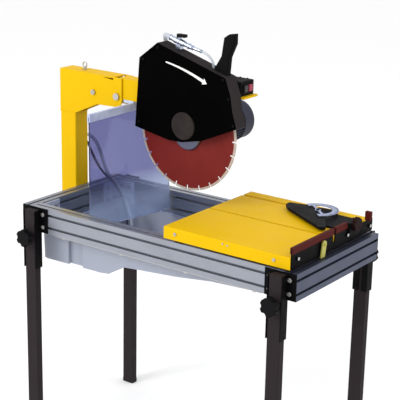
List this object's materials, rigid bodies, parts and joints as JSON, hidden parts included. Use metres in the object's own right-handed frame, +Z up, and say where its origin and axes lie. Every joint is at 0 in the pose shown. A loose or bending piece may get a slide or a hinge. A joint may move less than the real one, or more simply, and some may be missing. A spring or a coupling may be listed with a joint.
{
  "type": "tile cutter",
  "caption": "Wet tile cutter on four legs: slotted frame, water tank, rolling cart and a guarded blade head that tilts down.",
  "frame": {"origin": "on the floor under the middle of the machine's bounding box", "axes": "+X to the operator's right along the cart's travel, +Y towards the back, +Z up"},
  "size_m": [1.073, 0.5732, 1.344],
  "materials": {
    "aluminium": "satin extruded, anodised",
    "zinc_steel": "zinc plated",
    "black_paint": "black powder coat",
    "leg_black": "black powder coat, satin",
    "yellow_paint": "yellow powder coat",
    "motor_grey": "blue grey enamel",
    "blade_red": "dark red enamel",
    "blade_segment": "sintered segments",
    "dark_steel": "turned steel",
    "black_plastic": "moulded, fine grain",
    "grey_plastic": "moulded",
    "red_plastic": "dark red",
    "switch_red": "gloss",
    "switch_green": "gloss",
    "lever_cream": "pale yellow",
    "tank_plastic": "translucent natural polyethylene",
    "curtain_vinyl": "blue translucent vinyl",
    "clear_hose": "clear PVC",
    "cable_rubber": "black",
    "tap_metal": "nickel plated",
    "copper": "enamelled windings"
  },
  "bodies": {
    "frame": {"rail_front": "aluminium", "rail_back": "aluminium", "rail_left": "aluminium", "rail_right": "aluminium", "corner_brackets": "zinc_steel", "frame_bolts": "zinc_steel", "water_tank": "tank_plastic", "tank_runners": "zinc_steel", "leg_sockets": "black_paint", "column": "yellow_paint", "head_bracket": "yellow_paint", "pivot_pins": "zinc_steel", "pump_housing": "black_plastic", "pump_lines": "cable_rubber", "lift_spring": "dark_steel"},
    "drain_plug": {"drain_plug": "black_plastic"},
    "depth_screw": {"depth_screw": "zinc_steel"},
    "head": {"head_arm": "yellow_paint", "motor_plate": "yellow_paint", "motor_housing": "motor_grey", "motor_end_cover": "motor_grey", "motor_stator": "copper", "motor_bearings": "dark_steel", "guard_front": "black_paint", "guard_back": "black_paint", "guard_cap": "grey_plastic", "feed_handle": "black_plastic", "water_tap": "tap_metal", "guard_hoses": "clear_hose", "switch_box": "black_plastic", "curtain_bar": "tank_plastic", "curtain": "curtain_vinyl"},
    "spindle": {"spindle_shaft": "dark_steel", "motor_rotor": "dark_steel", "blade_core": "blade_red", "blade_rim": "blade_segment", "blade_flanges": "dark_steel", "arbor_nut": "zinc_steel"},
    "tap_lever": {"tap_lever": "black_plastic"},
    "start_button": {"start_button": "switch_green"},
    "stop_button": {"stop_button": "switch_red"},
    "cart": {"cart_table": "yellow_paint", "wheel_axles": "zinc_steel", "fence": "black_paint", "fence_trim": "red_plastic"},
    "wheels_left": {"wheels_left": "black_plastic"},
    "wheels_right": {"wheels_right": "black_plastic"},
    "lock_lever": {"lock_lever": "lever_cream"},
    "protractor": {"protractor_base": "black_plastic", "protractor_ring": "zinc_steel"},
    "protractor_arm": {"protractor_arm": "black_plastic"},
    "protractor_knob": {"protractor_knob": "red_plastic"},
    "leg_front_left": {"leg_front_left": "leg_black"},
    "knob_front_left": {"knob_front_left": "black_plastic"},
    "leg_front_right": {"leg_front_right": "leg_black"},
    "knob_front_right": {"knob_front_right": "black_plastic"},
    "leg_back_left": {"leg_back_left": "leg_black"},
    "knob_back_left": {"knob_back_left": "black_plastic"},
    "leg_back_right": {"leg_back_right": "leg_black"},
    "knob_back_right": {"knob_back_right": "black_plastic"}
  },
  "joints": [
    {"name": "head_tilt", "type": "hinge", "parent": "frame", "child": "head", "pos_m": [-0.2995, 0.052, 1.09], "axis": [0, 1, 0], "range_deg": [0, 9.5], "stiffness_Nm_per_rad": 100, "springref_deg": -63.03, "deforming": ["lift_spring"]},
    {"name": "blade_spin", "type": "hinge", "parent": "head", "child": "spindle", "pos_m": [-0.0015, 0, 1.024], "axis": [0, 1, 0], "continuous": true},
    {"name": "cart_slide", "type": "slide", "parent": "frame", "child": "cart", "axis": [-1, 0, 0], "range_m": [0, 0.5], "deforming": ["curtain"]},
    {"name": "wheels_left_roll", "type": "hinge", "parent": "cart", "child": "wheels_left", "pos_m": [0.1235, 0, 0.7825], "axis": [0, -1, 0], "continuous": true},
    {"name": "wheels_right_roll", "type": "hinge", "parent": "cart", "child": "wheels_right", "pos_m": [0.4605, 0, 0.7825], "axis": [0, -1, 0], "continuous": true},
    {"name": "lock_lever_swing", "type": "hinge", "parent": "cart", "child": "lock_lever", "pos_m": [0.5205, -0.065, 0.803], "axis": [-1, 0, 0], "range_deg": [0, 100]},
    {"name": "protractor_slide", "type": "slide", "parent": "cart", "child": "protractor", "axis": [0, 1, 0], "range_m": [0, 0.05]},
    {"name": "protractor_arm_turn", "type": "hinge", "parent": "protractor", "child": "protractor_arm", "pos_m": [0.3735, 0.146, 0.817], "axis": [0, 0, 1], "range_deg": [-41, 12]},
    {"name": "protractor_knob_turn", "type": "hinge", "parent": "protractor", "child": "protractor_knob", "pos_m": [0.5285, 0.106, 0.822], "axis": [1, 0, 0], "range_deg": [0, 360]},
    {"name": "tap_turn", "type": "hinge", "parent": "head", "child": "tap_lever", "pos_m": [-0.0395, 0, 1.313], "axis": [0, 0, 1], "range_deg": [0, 90]},
    {"name": "start_button_press", "type": "slide", "parent": "head", "child": "start_button", "axis": [-1, 0, 0], "range_m": [0, 0.003], "stiffness_N_per_m": 400},
    {"name": "stop_button_press", "type": "slide", "parent": "head", "child": "stop_button", "axis": [-1, 0, 0], "range_m": [0, 0.003], "stiffness_N_per_m": 400},
    {"name": "drain_plug_turn", "type": "hinge", "parent": "frame", "child": "drain_plug", "pos_m": [-0.2315, -0.115, 0.58], "axis": [0, 0, 1], "range_deg": [0, 720]},
    {"name": "depth_screw_turn", "type": "hinge", "parent": "frame", "child": "depth_screw", "pos_m": [-0.4565, 0.052, 1.155], "axis": [0, 0, 1], "range_deg": [0, 720]},
    {"name": "leg_front_left_slide", "type": "slide", "parent": "frame", "child": "leg_front_left", "axis": [0, 0, -1], "range_m": [0, 0.1]},
    {"name": "knob_front_left_turn", "type": "hinge", "parent": "leg_front_left", "child": "knob_front_left", "pos_m": [-0.4205, -0.27, 0.675], "axis": [0, -1, 0], "range_deg": [0, 720]},
    {"name": "leg_front_right_slide", "type": "slide", "parent": "frame", "child": "leg_front_right", "axis": [0, 0, -1], "range_m": [0, 0.1]},
    {"name": "knob_front_right_turn", "type": "hinge", "parent": "leg_front_right", "child": "knob_front_right", "pos_m": [0.4855, -0.27, 0.675], "axis": [0, -1, 0], "range_deg": [0, 720]},
    {"name": "leg_back_left_slide", "type": "slide", "parent": "frame", "child": "leg_back_left", "axis": [0, 0, -1], "range_m": [0, 0.1]},
    {"name": "knob_back_left_turn", "type": "hinge", "parent": "leg_back_left", "child": "knob_back_left", "pos_m": [-0.4205, 0.27, 0.675], "axis": [0, 1, 0], "range_deg": [0, 720]},
    {"name": "leg_back_right_slide", "type": "slide", "parent": "frame", "child": "leg_back_right", "axis": [0, 0, -1], "range_m": [0, 0.1]},
    {"name": "knob_back_right_turn", "type": "hinge", "parent": "leg_back_right", "child": "knob_back_right", "pos_m": [0.4855, 0.27, 0.675], "axis": [0, 1, 0], "range_deg": [0, 720]}
  ],
  "couplings": [
    {"joint": "wheels_left_roll", "follows": "cart_slide", "rad_per_m": 57.143},
    {"joint": "wheels_right_roll", "follows": "cart_slide", "rad_per_m": 57.143}
  ]
}
